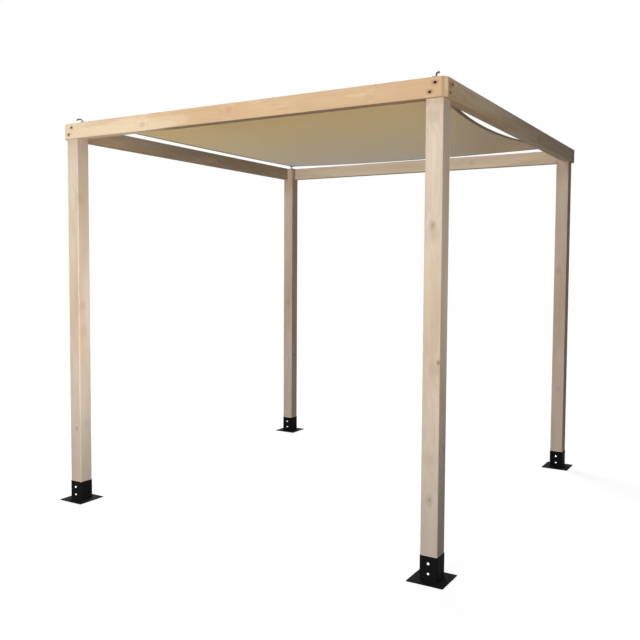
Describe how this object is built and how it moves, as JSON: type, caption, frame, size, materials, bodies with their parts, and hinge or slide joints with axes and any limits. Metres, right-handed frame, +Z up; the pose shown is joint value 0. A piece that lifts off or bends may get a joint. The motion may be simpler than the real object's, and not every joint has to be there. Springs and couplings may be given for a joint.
{
  "type": "wooden pergola with a stretched canopy",
  "caption": "Free-standing open wooden frame on steel post shoes, with a cloth shade canopy stretched between hooks on the post tops.",
  "frame": {"origin": "on the ground, midway between the four posts", "axes": "+X to the right along the front beam, +Y from front to back, +Z up"},
  "size_m": [2.64, 2.64, 2.442],
  "materials": {
    "post_wood": "planed, untreated",
    "beam_wood": "planed, untreated",
    "black_steel": "matt black powder coat",
    "zinc": "zinc plated",
    "webbing": "narrow woven, doubled and sewn",
    "canopy_cloth": "plain woven, taut"
  },
  "bodies": {
    "root": {"post_front_left": "post_wood", "post_front_right": "post_wood", "post_back_left": "post_wood", "post_back_right": "post_wood", "beam_front": "beam_wood", "beam_back": "beam_wood", "beam_left": "beam_wood", "beam_right": "beam_wood", "shoe_front_left": "black_steel", "shoe_front_right": "black_steel", "shoe_back_left": "black_steel", "shoe_back_right": "black_steel", "hook_front_left": "zinc", "hook_front_right": "zinc", "hook_back_left": "zinc", "hook_back_right": "zinc", "ring_front_left": "zinc", "ring_front_right": "zinc", "ring_back_left": "zinc", "ring_back_right": "zinc", "loop_front_left": "webbing", "loop_front_right": "webbing", "loop_back_left": "webbing", "loop_back_right": "webbing", "canopy": "canopy_cloth"}
  },
  "joints": []
}
